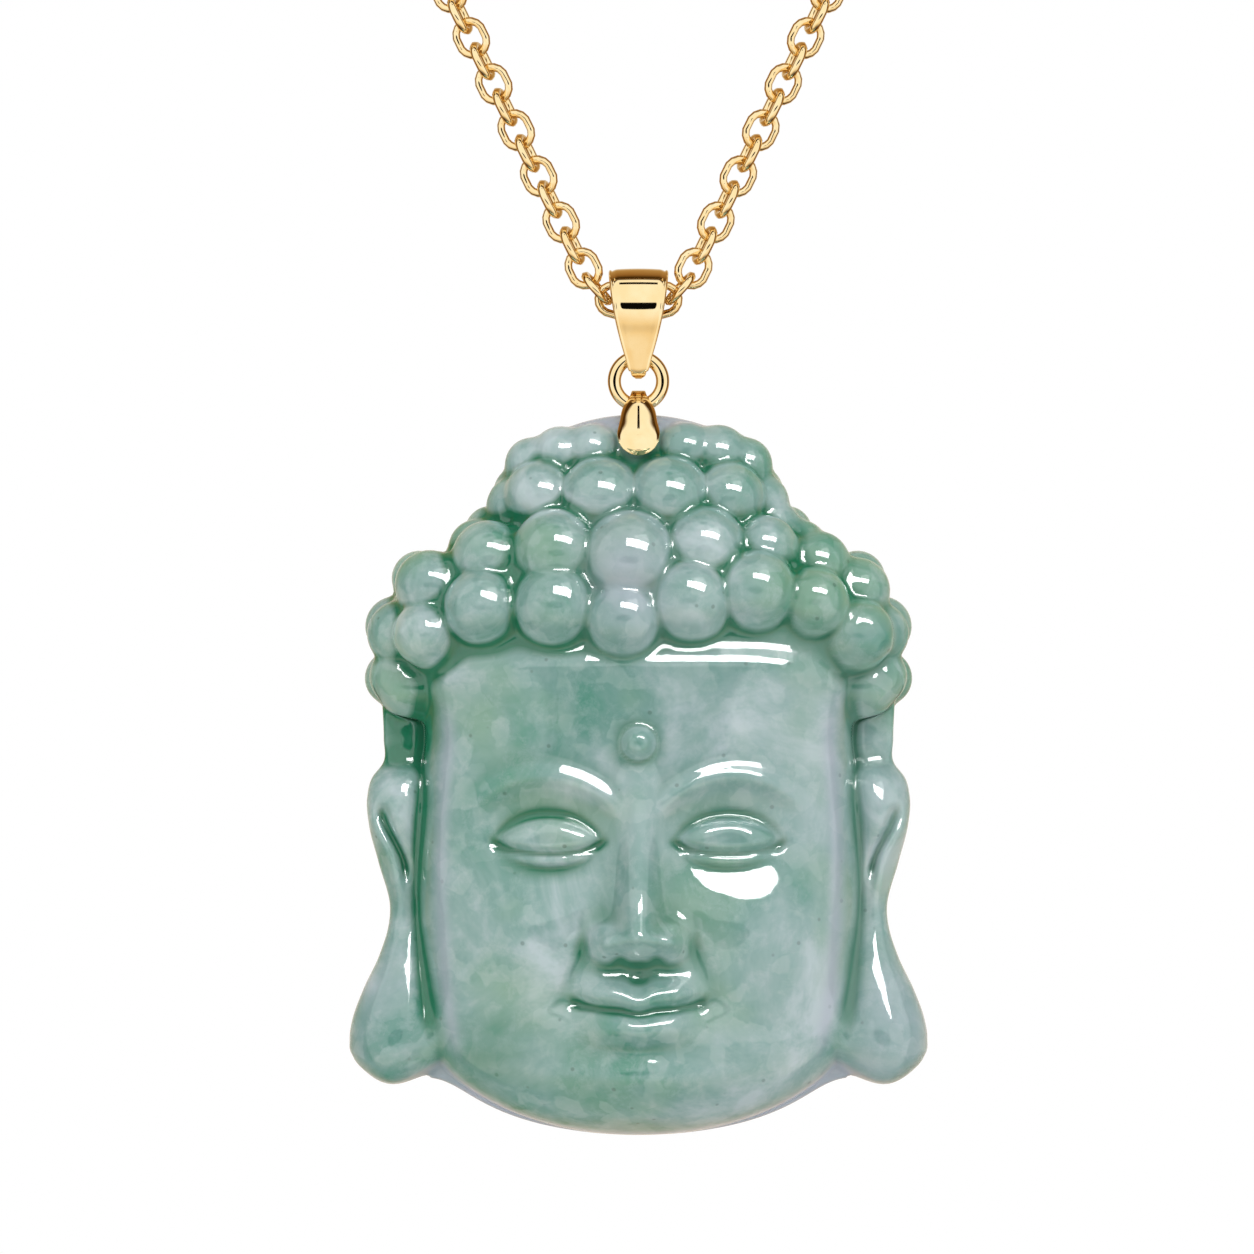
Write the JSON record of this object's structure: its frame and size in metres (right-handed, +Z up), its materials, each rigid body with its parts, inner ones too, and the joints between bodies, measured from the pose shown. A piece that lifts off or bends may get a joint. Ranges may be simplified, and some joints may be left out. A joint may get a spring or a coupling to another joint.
{
  "type": "gold chain necklace with a jade buddha head pendant",
  "caption": "Cable chain necklace with a carved stone buddha head pendant, hung from a tapered bail, a jump ring and a pinch bail pegged through its crown.",
  "frame": {"origin": "nape of the worn necklace, at the middle of the clasp", "axes": "+Z up, the face of the pendant looks along -Y, +X to the right of a person facing the pendant"},
  "size_m": [0.1146, 0.0181, 0.2399],
  "materials": {
    "chain": "polished yellow gold",
    "clasp": "polished yellow gold",
    "bail": "polished yellow gold",
    "jump_ring": "polished yellow gold",
    "pinch_bail": "polished yellow gold",
    "jade_head": "polished translucent jade"
  },
  "bodies": {
    "root": {"chain": "chain", "clasp": "clasp"},
    "bail": {"bail": "bail"},
    "ring": {"jump_ring": "jump_ring"},
    "head": {"pinch_bail": "pinch_bail", "jade_head": "jade_head"}
  },
  "joints": [
    {"name": "bail_swing", "type": "hinge", "parent": "root", "child": "bail", "pos_m": [0, 0, -0.17845], "axis": [1, 0, 0], "range_deg": [-60, 60]},
    {"name": "ring_swing", "type": "hinge", "parent": "bail", "child": "ring", "pos_m": [0, 0, -0.1823], "axis": [1, 0, 0], "range_deg": [-30, 30]},
    {"name": "head_swing", "type": "hinge", "parent": "ring", "child": "head", "pos_m": [0, 0, -0.18579], "axis": [1, 0, 0], "range_deg": [-30, 30]}
  ]
}
